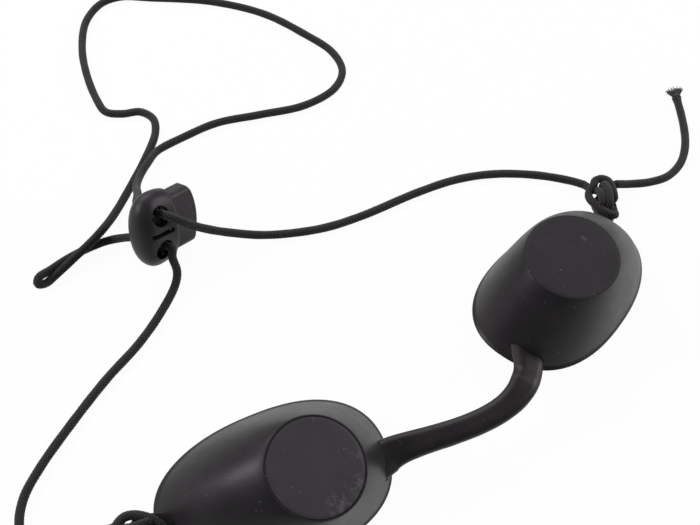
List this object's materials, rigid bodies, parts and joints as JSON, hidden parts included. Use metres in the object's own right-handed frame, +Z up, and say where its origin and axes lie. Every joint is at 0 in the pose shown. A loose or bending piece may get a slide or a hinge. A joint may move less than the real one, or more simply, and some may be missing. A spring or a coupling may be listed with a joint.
{
  "type": "laser safety goggles",
  "caption": "Opaque eye-shield goggles: domed cups with flat crown discs on a flexible nose bridge, with an elastic head cord, knots and a push-button cord lock.",
  "frame": {"origin": "middle of the eyewear's outline (cups, discs and bridge, without the free cord), on the surface that it lies on", "axes": "+X from the left cup to the right cup along the eyewear's length, +Y to the cheek side of the cups where the cord lies, +Z up, out of the crowns"},
  "size_m": [0.1918, 0.1635, 0.0252],
  "materials": {
    "cup": "satin black, moulded",
    "disc": "smooth opaque black",
    "bridge": "soft matt black",
    "cord": "braided black cover over elastic",
    "lock": "satin black, moulded",
    "lock_button": "satin black, ribbed",
    "spring": "plain spring wire"
  },
  "bodies": {
    "left_side": {"left_cup": "cup", "left_disc": "disc", "nose_bridge": "bridge", "left_knot": "cord", "left_strand": "cord", "right_strand": "cord", "back_loop": "cord", "lock_body": "lock", "lock_spring": "spring"},
    "right_side": {"right_cup": "cup", "right_disc": "disc", "right_knot": "cord", "right_tail": "cord"},
    "button": {"lock_button": "lock_button"}
  },
  "joints": [
    {"name": "nose_flex", "type": "hinge", "parent": "left_side", "child": "right_side", "pos_m": [0.0013, -0.0135, 0.0079], "axis": [0, 1, 0], "range_deg": [-60, 45], "stiffness_Nm_per_rad": 0.05, "deforming": ["nose_bridge", "right_strand"]},
    {"name": "button_press", "type": "slide", "parent": "left_side", "child": "button", "axis": [-0.9142, -0.201, 0.3518], "range_m": [0, 0.0025], "stiffness_N_per_m": 200, "deforming": ["lock_spring"]}
  ]
}
